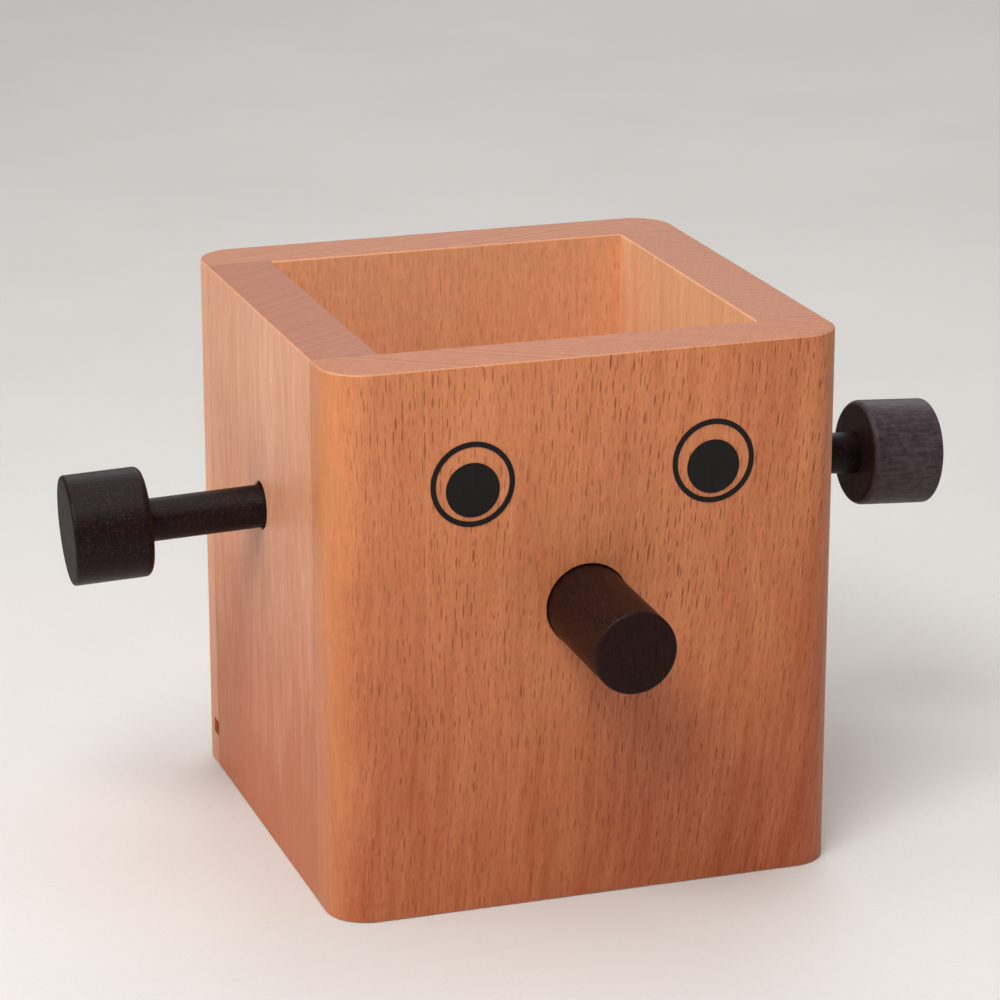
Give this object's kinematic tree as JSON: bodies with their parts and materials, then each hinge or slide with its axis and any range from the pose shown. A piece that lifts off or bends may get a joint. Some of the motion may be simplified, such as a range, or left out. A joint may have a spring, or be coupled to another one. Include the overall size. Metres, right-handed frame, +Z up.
{
  "type": "eyeglasses display stand",
  "caption": "Open-topped wooden box with a face that holds a pair of eyeglasses: the nose peg takes the bridge and the ear pegs take the arms.",
  "frame": {"origin": "on the surface that the stand rests on, under the middle of the whole stand, nose and ears included", "axes": "+Z up; the face with the nose and the eyes looks along -Y; the ear pegs lie along X, with +X on the right of somebody facing the stand"},
  "size_m": [0.1782, 0.1258, 0.106],
  "materials": {
    "beech": "sanded steamed beech, fine upright grain, thin satin oil",
    "base_wood": "sanded pale sheet wood, unfinished",
    "dark_wood": "turned wood stained near black, satin",
    "ink": "thin matte printed ink film"
  },
  "bodies": {
    "box": {"front_board": "beech", "back_board": "beech", "left_board": "beech", "right_board": "beech", "base_panel": "base_wood", "left_eye_ring": "ink", "left_eye_pupil": "ink", "right_eye_ring": "ink", "right_eye_pupil": "ink"},
    "nose": {"nose_peg": "dark_wood"},
    "left_ear": {"left_ear_stem": "dark_wood", "left_ear_head": "dark_wood"},
    "right_ear": {"right_ear_stem": "dark_wood", "right_ear_head": "dark_wood"}
  },
  "joints": [
    {"name": "nose_pull", "type": "slide", "parent": "box", "child": "nose", "axis": [0, -0.9996, -0.0279], "range_m": [0, 0.025]},
    {"name": "left_ear_pull", "type": "slide", "parent": "box", "child": "left_ear", "axis": [-0.9972, 0.0558, -0.0506], "range_m": [0, 0.025]},
    {"name": "right_ear_pull", "type": "slide", "parent": "box", "child": "right_ear", "axis": [0.9977, 0.0104, -0.0663], "range_m": [-0.0018, 0.025]}
  ]
}
